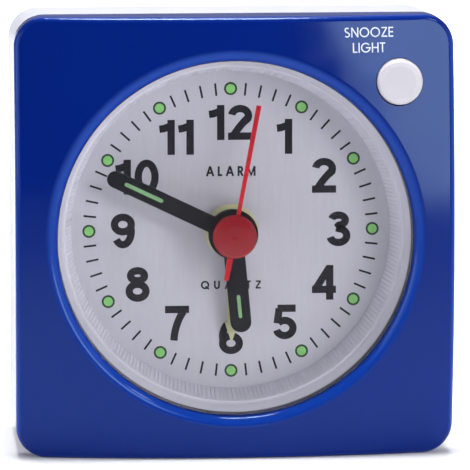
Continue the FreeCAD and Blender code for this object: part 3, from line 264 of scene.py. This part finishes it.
def blue_shell():
    """Deep blue gloss, with a painted highlight round the window and at the outer edges and painted shade
    on the window's wall.
    """
    base, painted_highlight_blue = (0.0010, 0.0125, 0.165), (0.0045, 0.0370, 0.300)
    material, principled = shader("blue_plastic", base, 0.12, Specular_IOR_Level=0.27,
                                  Specular_Tint=(0.55, 0.80, 1.0, 1))
    tree = material.node_tree
    radius, across, height = dial_distances(tree)
    # Painted highlight: lighter blue round the window's rounded lip and along the case's outer edges, half
    # as strong at top and bottom.
    lip = band(tree, radius, LIP_OUTER, LIP_INNER)
    sides = band(tree, across, SIDE_EDGE_START, SIDE_EDGE_FULL)
    ends = calculated(tree, "MULTIPLY", 0.5, band(tree, height, TOP_EDGE_START, TOP_EDGE_FULL))
    edges = calculated(tree, "MAXIMUM", lip, calculated(tree, "MAXIMUM", sides, ends))
    flow = ramped(tree, noise(tree, 90, stretch=FLOW_STRETCH), shaded(base, 0.95), shaded(base, 1.05))
    # Painted shade: the window's inner wall goes to a third of the blue.
    window_wall_shade = band(tree, radius, WINDOW_WALL + WINDOW_WALL_BLEND, WINDOW_WALL)
    colour = mixed(tree, window_wall_shade, mixed(tree, edges, flow, painted_highlight_blue), shaded(base, 0.3))
    tree.links.new(colour, principled.inputs["Base Color"])
    vary_roughness(material, principled, noise(tree, 350), 0.10, 0.15)
    add_bump(material, principled, noise(tree, 700, 2.0), 8e-7)
    return material


def lens_plastic():
    """Clear window: almost invisible but for its gloss and a few hairline scuffs."""
    material, principled = shader("lens_plastic", (0.10, 0.10, 0.12), 0.03, Alpha=0.04,
                                  Specular_IOR_Level=0.8)
    tree = material.node_tree
    vary_roughness(material, principled, noise(tree, 160, 6.0, (1, 1, 4)), 0.02, 0.07)
    add_bump(material, principled, noise(tree, 45, 2.0), 2e-6)
    return material


def laminate():
    """Brown circuit board laminate with a fine woven fleck."""
    base = (0.30, 0.20, 0.07)
    material, principled = shader("laminate", base, 0.45)
    tree = material.node_tree
    weave = tree.nodes.new("ShaderNodeTexVoronoi")
    weave.inputs["Scale"].default_value = 2500
    vary_colour(material, principled, weave.outputs["Distance"], shaded(base, 0.8), shaded(base, 1.15))
    add_bump(material, principled, noise(tree, 3000), 2e-6)
    return material


MATERIALS = {
    "blue_plastic": blue_shell(),
    "white_plastic": moulded("white_plastic", (0.68, 0.685, 0.78), 0.34, 0.015),
    "button_plastic": moulded("button_plastic", (0.58, 0.565, 0.62), 0.3, 0.015, Specular_IOR_Level=0.2),
    "clear_plastic": lens_plastic(),
    "ring_plastic": ring_plastic(),
    "dial_sheet": dial_paint(),
    "black_hand": painted("black_hand", (0.006, 0.006, 0.010), 0.34, Specular_IOR_Level=0.15),
    "red_hand": painted("red_hand", (0.50, 0.010, 0.020), 0.3, Specular_IOR_Level=0.2),
    "red_cap": painted("red_cap", (0.25, 0.004, 0.011), 0.1, Specular_IOR_Level=0.3),
    "yellow_hand": painted("yellow_hand", (0.62, 0.62, 0.34), 0.4),
    "lume": painted("lume", (0.24, 0.46, 0.22), 0.6, Specular_IOR_Level=0.2),
    "gear_plastic": moulded("gear_plastic", (0.80, 0.78, 0.70), 0.4, 0.03),
    "magnet": metal("magnet", (0.12, 0.12, 0.13), 0.5),
    "lamination": metal("lamination", (0.45, 0.45, 0.47), 0.4),
    "copper": metal("copper", (0.62, 0.25, 0.10), 0.32, (1, 1, 40)),
    "brass_leaf": metal("brass_leaf", (0.70, 0.50, 0.18), 0.3),
    "steel": metal("steel", (0.55, 0.55, 0.57), 0.3),
    "nickel": metal("nickel", (0.70, 0.69, 0.66), 0.25),
    "board": laminate(),
    "resin": moulded("resin", (0.012, 0.012, 0.012), 0.3, 0.1),
    "ceramic": moulded("ceramic", (0.78, 0.74, 0.62), 0.6, 0.04),
    "bulb_glass": moulded("bulb_glass", (0.9, 0.9, 0.82), 0.08, 0.02, Alpha=0.5),
    "cell_wrap": painted("cell_wrap", (0.03, 0.16, 0.06), 0.25, Metallic=0.4),
    "black_plastic": moulded("black_plastic", (0.02, 0.02, 0.022), 0.5, 0.1),
}

dial_ink = painted("dial_ink", (0.012, 0.011, 0.018), 0.5, Specular_IOR_Level=0.15)
dot_ring_ink = painted("dot_ring_ink", (0.010, 0.045, 0.018), 0.5)
dot_lume = painted("dot_lume", (0.24, 0.62, 0.17), 0.55)
case_ink = painted("case_ink", (0.62, 0.66, 0.82), 0.4)
rear_ink = painted("rear_ink", (0.16, 0.17, 0.22), 0.5)

for part in frame["record"]["subparts"]:
    mesh = nodes[part["node"]].data
    mesh.materials.clear()
    mesh.materials.append(MATERIALS[part["material_slot"]])


# ---------------------------------------------------------------- mesh helpers

def piece(name, mesh, material, body):
    """Link a mesh as a piece that rides on a CAD body."""
    made = bpy.data.objects.new(name, mesh)
    bpy.context.scene.collection.objects.link(made)
    mesh.materials.clear()
    mesh.materials.append(material)
    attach(made, body)
    return made


def prism(work, corners, y_front, y_back):
    """Add a closed prism over (x, z) corners to a bmesh."""
    front = [work.verts.new((x, y_front, z)) for x, z in corners]
    back = [work.verts.new((x, y_back, z)) for x, z in corners]
    count = len(corners)
    work.faces.new(front)
    work.faces.new(list(reversed(back)))
    for number in range(count):
        following = (number + 1) % count
        work.faces.new((front[number], back[number], back[following], front[following]))


def mesh_from(name, work):
    """Turn a bmesh into a mesh with outward faces."""
    bmesh.ops.recalc_face_normals(work, faces=work.faces)
    mesh = bpy.data.meshes.new(name)
    work.to_mesh(mesh)
    work.free()
    return mesh


def ring_points(radius, count, centre):
    """Evenly spaced (x, z) points round a circle."""
    turns = [2 * math.pi * step / count for step in range(count)]
    return [(centre[0] + radius * math.cos(turn), centre[1] + radius * math.sin(turn)) for turn in turns]


# ---------------------------------------------------------------- stroke lettering

# A glyph is its width and its strokes, in cap heights.  A stroke is a centre line of points; arc and
# curve give the bent ones.  Every stroke has the same weight, as in a plain sans serif.

def arc(cx, cz, rx, rz, start, end):
    """Centre line of an elliptical arc; angles in degrees from +x, anticlockwise."""
    steps = max(4, int(abs(end - start) / 9))
    turns = [math.radians(start + (end - start) * step / steps) for step in range(steps + 1)]
    return [(cx + rx * math.cos(turn), cz + rz * math.sin(turn)) for turn in turns]


def curve(start, control, end):
    """Centre line of a quadratic curve."""
    steps = 12
    points = []
    for step in range(steps + 1):
        t = step / steps
        points.append(tuple((1 - t) ** 2 * a + 2 * t * (1 - t) * b + t * t * c
                            for a, b, c in zip(start, control, end)))
    return points


def numerals(weight):
    """Bold dial figures with flat stroke ends."""
    half = weight / 2
    wide = 0.69
    middle = wide / 2
    outer = middle - half
    low_bowl = (middle, 0.305, outer, 0.305 - half)
    top_bowl = (middle, 0.75, outer - 0.04, 0.25 - half)
    six = [arc(middle, 0.315, outer, 0.315 - half, 0, 360),
           arc(middle, 0.5, outer, 0.5 - half, 38, 190)]
    return {
        "0": (wide, [arc(middle, 0.5, outer, 0.5 - half, 0, 360)]),
        "1": (0.44, [[(0.44 - half, 0), (0.44 - half, 1)],
                     [(0, 0.735), (0.12, 0.75), (0.26, 0.80)]]),
        "2": (wide, [arc(middle, 0.69, outer, 0.31 - half, 172, -18)
                     + curve((outer * 2 - 0.02, 0.52), (0.26, 0.31), (half + 0.015, 0.06))[1:],
                     [(0.0, half), (wide, half)]]),
        "3": (wide, [arc(*top_bowl, 165, -82) + [(middle - 0.06, 0.53)],
                     [(middle - 0.06, 0.53)] + arc(*low_bowl, 84, -168)]),
        "4": (wide, [[(0.51, 0), (0.51, 1)], [(0, 0.30), (wide, 0.30)],
                     [(half * 0.9, 0.30), (0.50, 0.93)]]),
        "5": (wide, [[(0.14, 1 - half), (wide - 0.03, 1 - half)],
                     [(0.19, 1 - half), (0.13, 0.46)],
                     arc(middle, 0.325, outer, 0.325 - half, 140, -165)]),
        "6": (wide, six),
        "7": (wide, [[(0.0, 1 - half), (wide, 1 - half)],
                     curve((wide - half * 0.9, 0.93), (0.29, 0.55), (0.25, 0.0))]),
        "8": (wide, [arc(*top_bowl, 0, 360), arc(*low_bowl, 0, 360)]),
        "9": (wide, [[(wide - x, 1 - z) for x, z in stroke] for stroke in six]),
    }


def capitals(weight):
    """Light geometric capitals."""
    half = weight / 2
    end = 1 - half
    round_o = arc(0.5, 0.5, 0.5 - half, 0.5 - half, 0, 360)
    s_curve = (arc(0.3, 0.735, 0.26 - half, 0.265 - half, 40, 250)
               + arc(0.3, 0.265, 0.3 - half, 0.265 - half, 70, -140))
    return {
        "A": (0.86, [[(half, 0), (0.43, 1)], [(0.86 - half, 0), (0.43, 1)], [(0.17, 0.33), (0.69, 0.33)]]),
        "E": (0.5, [[(half, 0), (half, 1)], [(0, half), (0.5, half)], [(0, end), (0.5, end)],
                    [(0, 0.5), (0.47, 0.5)]]),
        "F": (0.5, [[(half, 0), (half, 1)], [(0, end), (0.5, end)], [(0, 0.5), (0.45, 0.5)]]),
        "G": (1.0, [arc(0.5, 0.5, 0.5 - half, 0.5 - half, 40, 360), [(0.52, 0.5), (1.0, 0.5)]]),
        "H": (0.7, [[(half, 0), (half, 1)], [(0.7 - half, 0), (0.7 - half, 1)], [(0, 0.5), (0.7, 0.5)]]),
        "I": (weight, [[(half, 0), (half, 1)]]),
        "L": (0.46, [[(half, 0), (half, 1)], [(0, half), (0.46, half)]]),
        "M": (0.9, [[(half, 0), (half, 1)], [(0.9 - half, 0), (0.9 - half, 1)],
                    [(half, 0.98), (0.45, 0.1), (0.9 - half, 0.98)]]),
        "N": (0.74, [[(half, 0), (half, 1)], [(0.74 - half, 0), (0.74 - half, 1)],
                     [(half, 0.97), (0.74 - half, 0.03)]]),
        "O": (1.0, [round_o]),
        "Q": (1.0, [round_o, [(0.56, 0.34), (0.96, -0.02)]]),
        "R": (0.58, [[(half, 0), (half, 1)], [(0, end), (0.3, end)], [(0, 0.46), (0.3, 0.46)],
                     arc(0.3, (end + 0.46) / 2, 0.27 - half, (end - 0.46) / 2, 90, -90),
                     [(0.27, 0.46), (0.53, 0)]]),
        "S": (0.6, [s_curve]),
        "T": (0.56, [[(0.28, 0), (0.28, 1)], [(0, end), (0.56, end)]]),
        "U": (0.7, [[(half, 1)] + arc(0.35, 0.35, 0.35 - half, 0.35 - half, 180, 360)
                    + [(0.7 - half, 1)]]),
        "Z": (0.62, [[(0.02, end), (0.6, end)], [(0, half), (0.62, half)],
                     [(0.56, end - 0.02), (0.06, half + 0.02)]]),
    }


def stroke_sides(points, weight, closed):
    """The two edges of a stroke, half its weight to each side of its centre line."""
    count = len(points)
    left, right = [], []
    for number, (x, z) in enumerate(points):
        before = points[(number - 1) % count] if closed or number > 0 else points[0]
        after = points[(number + 1) % count] if closed or number < count - 1 else points[-1]
        run = Vector((after[0] - before[0], after[1] - before[1]))
        run.normalize()
        reach = weight / 2
        if 0 < number < count - 1 and not closed:
            first = Vector((x - before[0], z - before[1])).normalized()
            reach /= max(0.5, first.dot(run))
        left.append((x - run.y * reach, z + run.x * reach))
        right.append((x + run.y * reach, z - run.x * reach))
    return left, right


def stroke_mesh(points, weight, y_front, y_back):
    """One stroke as a closed, flat strip."""
    closed = math.dist(points[0], points[-1]) < 1e-6
    if closed:
        points = points[:-1]
    left, right = stroke_sides(points, weight, closed)
    work = bmesh.new()
    rows = []
    for a, b in zip(left, right):
        rows.append([work.verts.new((x, y, z)) for (x, z), y in
                     ((a, y_front), (b, y_front), (b, y_back), (a, y_back))])
    spans = len(rows) if closed else len(rows) - 1
    for number in range(spans):
        here, there = rows[number], rows[(number + 1) % len(rows)]
        for side in range(4):
            following = (side + 1) % 4
            work.faces.new((here[side], here[following], there[following], there[side]))
    if not closed:
        work.faces.new(rows[0])
        work.faces.new(list(reversed(rows[-1])))
    return mesh_from("stroke", work)


def united(meshes):
    """One clean solid from overlapping strokes."""
    whole = bpy.data.objects.new("united", meshes[0])
    bpy.context.scene.collection.objects.link(whole)
    others = []
    for mesh in meshes[1:]:
        other = bpy.data.objects.new("stroke", mesh)
        bpy.context.scene.collection.objects.link(other)
        others.append(other)
        step = whole.modifiers.new("union", "BOOLEAN")
        step.operation = "UNION"
        step.solver = "EXACT"
        step.object = other
    bpy.context.view_layer.update()
    graph = bpy.context.evaluated_depsgraph_get()
    result = bpy.data.meshes.new_from_object(whole.evaluated_get(graph))
    for done in [whole, *others]:
        bpy.data.objects.remove(done)
    return result


glyph_meshes = {}


def glyph_mesh(glyphs, style, letter, weight):
    """The solid of one glyph, one cap height tall and one unit thick, made once."""
    key = (style, letter)
    if key not in glyph_meshes:
        strokes = glyphs[letter][1]
        glyph_meshes[key] = united([stroke_mesh(points, weight, -1.0, 0.0) for points in strokes])
    return glyph_meshes[key]


def word_mesh(text, glyphs, style, weight, cap, gap, thickness, centre_x, centre_z, mirror=False):
    """A word centred on a point, standing thickness off y = 0; mirror turns it to face +Y."""
    widths = [glyphs[letter][0] for letter in text]
    total = sum(widths) + gap * (len(text) - 1)
    work = bmesh.new()
    pen = -total / 2
    for letter, width in zip(text, widths):
        copy = glyph_mesh(glyphs, style, letter, weight).copy()
        copy.transform(Matrix.Translation((pen, 0, -0.5)))
        work.from_mesh(copy)
        bpy.data.meshes.remove(copy)
        pen += width + gap
    bmesh.ops.scale(work, vec=(cap, thickness, cap), verts=work.verts)
    if mirror:
        bmesh.ops.rotate(work, matrix=Matrix.Rotation(math.pi, 3, "Z"), verts=work.verts)
    bmesh.ops.translate(work, vec=(centre_x, 0, centre_z), verts=work.verts)
    return mesh_from(text, work)


# ---------------------------------------------------------------- dial printing

NUMERAL_WEIGHT = 0.212
NUMERAL_CAP = 4.6 * MM
NUMERAL_GAP = 0.10
NUMERAL_CIRCLE = 14.15 * MM
DOT_CIRCLE = 18.6 * MM
DOT_RADIUS = 0.60 * MM
DOT_RING_RADIUS = 0.86 * MM
TICK_INNER = 17.75 * MM
TICK_OUTER = 19.4 * MM
TICK_WIDTH = 0.26 * MM
DOT_SIDES = 32

figures = numerals(NUMERAL_WEIGHT)


def on_dial(mesh):
    """Set a mesh made at y = 0 down on the dial's face."""
    mesh.transform(Matrix.Translation((0, DIAL_Y, 0)))
    return mesh


for hour in range(1, 13):
    spot = clock_direction(hour * 30) * NUMERAL_CIRCLE
    figure = word_mesh(str(hour), figures, "bold", NUMERAL_WEIGHT, NUMERAL_CAP, NUMERAL_GAP,
                       PRINT_HEIGHT, AXIS_X + spot.x, AXIS_Z + spot.z)
    piece(f"numeral_{hour}", on_dial(figure), dial_ink, "case")

ring_work, fill_work, tick_work = bmesh.new(), bmesh.new(), bmesh.new()
for minute in range(60):
    out = clock_direction(minute * 6)
    across = Vector((out.z, 0, -out.x))
    if minute % 5 == 0:
        spot = (AXIS_X + out.x * DOT_CIRCLE, AXIS_Z + out.z * DOT_CIRCLE)
        prism(ring_work, ring_points(DOT_RING_RADIUS, DOT_SIDES, spot), -PRINT_HEIGHT, 0)
        prism(fill_work, ring_points(DOT_RADIUS, DOT_SIDES, spot), -3 * PRINT_HEIGHT, -PRINT_HEIGHT)
    else:
        corners = []
        for reach, side in ((TICK_INNER, -1), (TICK_OUTER, -1), (TICK_OUTER, 1), (TICK_INNER, 1)):
            corner = out * reach + across * side * TICK_WIDTH / 2
            corners.append((AXIS_X + corner.x, AXIS_Z + corner.z))
        prism(tick_work, corners, -PRINT_HEIGHT, 0)
piece("hour_dot_rings", on_dial(mesh_from("hour_dot_rings", ring_work)), dot_ring_ink, "case")
piece("hour_dot_lume", on_dial(mesh_from("hour_dot_lume", fill_work)), dot_lume, "case")
piece("minute_ticks", on_dial(mesh_from("minute_ticks", tick_work)), dial_ink, "case")

# Each dial word with its height over the dial's centre, its cap height and its letter gap in cap heights.
DIAL_WORD_WEIGHT = 0.2
DIAL_WORDS = (("QUARTZ", -7.25 * MM, 1.1 * MM, 0.57), ("ALARM", 7.75 * MM, 1.3 * MM, 0.34))
dial_letters = capitals(DIAL_WORD_WEIGHT)
for text, rise, cap, gap in DIAL_WORDS:
    word = word_mesh(text, dial_letters, "dial", DIAL_WORD_WEIGHT, cap, gap, PRINT_HEIGHT,
                     AXIS_X, AXIS_Z + rise)
    piece("dial_word_" + text.lower(), on_dial(word), dial_ink, "case")


# ---------------------------------------------------------------- lettering on the case

DOME_RADIUS = 130.0 * MM
LIP_CREST_RADIUS = 24.5 * MM
LIP_CREST_Y = -16.7 * MM
DOME_CENTRE_Y = LIP_CREST_Y + math.sqrt(DOME_RADIUS ** 2 - LIP_CREST_RADIUS ** 2)


def on_dome(mesh):
    """Bend flat lettering on to the bulged face."""
    for vertex in mesh.vertices:
        x, z = vertex.co.x - AXIS_X, vertex.co.z - AXIS_Z
        surface = DOME_CENTRE_Y - math.sqrt(DOME_RADIUS ** 2 - x * x - z * z)
        vertex.co.y += surface
    return mesh


BUTTON_X, BUTTON_Z = centre_of("snooze_button")
FACE_WORD_WEIGHT = 0.125
FACE_WORD_CAP = 1.26 * MM
FACE_WORD_GAP = 0.13
FACE_WORD_X = BUTTON_X - 3.95 * MM
FACE_WORD_RISES = (("SNOOZE", 6.42 * MM), ("LIGHT", 4.46 * MM))
face_letters = capitals(FACE_WORD_WEIGHT)
for text, rise in FACE_WORD_RISES:
    word = word_mesh(text, face_letters, "face", FACE_WORD_WEIGHT, FACE_WORD_CAP, FACE_WORD_GAP,
                     PRINT_HEIGHT * 1.5, FACE_WORD_X, BUTTON_Z + rise)
    piece("face_word_" + text.lower(), on_dome(word), case_ink, "case")


# ---------------------------------------------------------------- lettering on the back

REAR_WALL_Y = 13.7 * MM
BACK_WORD_CAP = 1.4 * MM
BACK_WORD_GAP = 0.2
KNOB_WORD_DROP = 6.4 * MM
KNOB_WORD_SPREAD = 1.12
ON_RISE = 7.0 * MM
OFF_DROP = 4.4 * MM


time_x, time_z = centre_of("time_set_knob")
alarm_x, alarm_z = centre_of("alarm_set_knob")
switch_x, switch_z = centre_of("alarm_switch")
BACK_WORDS = (("TIME", time_x * KNOB_WORD_SPREAD, time_z - KNOB_WORD_DROP),
              ("ALARM", alarm_x * KNOB_WORD_SPREAD, alarm_z - KNOB_WORD_DROP),
              ("ON", switch_x, switch_z + ON_RISE),
              ("OFF", switch_x, switch_z - OFF_DROP))
for text, across, height in BACK_WORDS:
    word = word_mesh(text, face_letters, "face", FACE_WORD_WEIGHT, BACK_WORD_CAP, BACK_WORD_GAP,
                     PRINT_HEIGHT, across, height, mirror=True)
    word.transform(Matrix.Translation((0, REAR_WALL_Y, 0)))
    piece("back_word_" + text.lower(), word, rear_ink, "case")


# ---------------------------------------------------------------- floor, light and camera

LIGHT_TARGET = Vector((AXIS_X, -10.0 * MM, AXIS_Z))


def pale_floor():
    """A wide sheet of pale paper on the table that glows from just behind the clock backwards."""
    half_width, cells = 2.4, 24
    glow_start, glow_full, glow_strength = 0.03, 0.30, 0.75
    work = bmesh.new()
    bmesh.ops.create_grid(work, x_segments=cells, y_segments=cells, size=half_width)
    mesh = bpy.data.meshes.new("floor")
    work.to_mesh(mesh)
    work.free()
    made = bpy.data.objects.new("floor", mesh)
    bpy.context.scene.collection.objects.link(made)
    paper, principled = shader("paper", (0.93, 0.93, 0.94), 0.9)
    vary_colour(paper, principled, noise(paper.node_tree, 30), (0.92, 0.92, 0.93), (0.94, 0.94, 0.95))
    tree = paper.node_tree
    place = tree.nodes.new("ShaderNodeTexCoord")
    split = tree.nodes.new("ShaderNodeSeparateXYZ")
    tree.links.new(place.outputs["Object"], split.inputs["Vector"])
    glow = calculated(tree, "MULTIPLY", glow_strength,
                      band(tree, split.outputs["Y"], glow_start, glow_full))
    principled.inputs["Emission Color"].default_value = (1.0, 1.0, 1.0, 1)
    tree.links.new(glow, principled.inputs["Emission Strength"])
    mesh.materials.append(paper)


def soft_light(name, azimuth, elevation, distance, width, height, radiance, target=LIGHT_TARGET,
               roll=0.0, spread=180.0):
    """A soft box of a given radiance, seen from its target in a direction.

    Azimuth is measured from the dial's own facing (-Y) towards +X, in degrees.
    """
    turn, rise = math.radians(azimuth), math.radians(elevation)
    towards = Vector((math.sin(turn) * math.cos(rise), -math.cos(turn) * math.cos(rise), math.sin(rise)))
    data = bpy.data.lights.new(name, "AREA")
    data.shape = "RECTANGLE"
    data.size = width
    data.size_y = height
    data.energy = radiance * math.pi * width * height
    data.spread = math.radians(spread)
    made = bpy.data.objects.new(name, data)
    bpy.context.scene.collection.objects.link(made)
    facing = (-towards).to_track_quat("-Z", "Y").to_matrix().to_4x4()
    made.matrix_world = (Matrix.Translation(target + towards * distance) @ facing
                         @ Matrix.Rotation(math.radians(roll), 4, "Z"))


def studio_world():
    """Dim room light, darker still behind the camera so that the gloss stays deep."""
    front_strength, back_strength = 0.04, 0.25
    world = bpy.data.worlds.new("studio")
    world.use_nodes = True
    tree = world.node_tree
    background = tree.nodes["Background"]
    background.inputs["Color"].default_value = (0.94, 0.96, 1.0, 1)
    place = tree.nodes.new("ShaderNodeTexCoord")
    split = tree.nodes.new("ShaderNodeSeparateXYZ")
    spread = tree.nodes.new("ShaderNodeMapRange")
    spread.inputs["From Min"].default_value = -0.75
    spread.inputs["From Max"].default_value = 0.1
    spread.inputs["To Min"].default_value = front_strength
    spread.inputs["To Max"].default_value = back_strength
    tree.links.new(place.outputs["Generated"], split.inputs["Vector"])
    tree.links.new(split.outputs["Y"], spread.inputs["Value"])
    tree.links.new(spread.outputs["Result"], background.inputs["Strength"])
    bpy.context.scene.world = world


pale_floor()
soft_light("key_softbox", azimuth=32.0, elevation=11.3, distance=0.85, width=0.27, height=0.62,
           radiance=7.2, roll=25)
soft_light("lip_spark", azimuth=50, elevation=42, distance=0.7, width=0.08, height=0.08, radiance=30.0)
soft_light("fill_left", azimuth=-66, elevation=8, distance=1.2, width=1.1, height=1.1, radiance=1.4)
soft_light("fill_right", azimuth=72, elevation=15, distance=1.2, width=0.9, height=0.9, radiance=1.0)
soft_light("table_light", azimuth=0, elevation=90, distance=0.6, width=0.2, height=0.2,
           radiance=2.2, spread=40)
soft_light("back_light", azimuth=180, elevation=80, distance=0.8, width=1.2, height=0.5,
           radiance=1.2, target=Vector((0, 0.52, 0.0)), spread=75)
soft_light("edge_strip", azimuth=-78, elevation=4, distance=0.9, width=0.16, height=0.9, radiance=3.4)
studio_world()
bpy.context.scene.view_settings.view_transform = "Standard"

CAMERA_YAW = math.radians(4.116)
CAMERA_PITCH = math.radians(7.132)
CAMERA_ROLL = math.radians(-0.084)
CAMERA_DISTANCE = 700 * MM
CAMERA_FOCAL = 414.4
AIM_RIGHT = -0.08 * MM
AIM_UP = 0.42 * MM
AIM_Y = -15.0 * MM

forward = Vector((math.sin(CAMERA_YAW) * math.cos(CAMERA_PITCH),
                  math.cos(CAMERA_YAW) * math.cos(CAMERA_PITCH), -math.sin(CAMERA_PITCH)))
level = Vector((math.cos(CAMERA_YAW), -math.sin(CAMERA_YAW), 0))
upward = level.cross(forward)
right = level * math.cos(CAMERA_ROLL) + upward * math.sin(CAMERA_ROLL)
up = upward * math.cos(CAMERA_ROLL) - level * math.sin(CAMERA_ROLL)
aim = Vector((AXIS_X, AIM_Y, AXIS_Z)) + level * AIM_RIGHT + upward * AIM_UP
camera_data = bpy.data.cameras.new("camera")
camera_data.lens = CAMERA_FOCAL
camera_data.sensor_width = 36.0
camera_data.clip_start = 0.01
camera = bpy.data.objects.new("camera", camera_data)
bpy.context.scene.collection.objects.link(camera)
turn = Matrix((right, up, -forward)).transposed().to_4x4()
camera.matrix_world = Matrix.Translation(aim - forward * CAMERA_DISTANCE) @ turn
bpy.context.scene.camera = camera
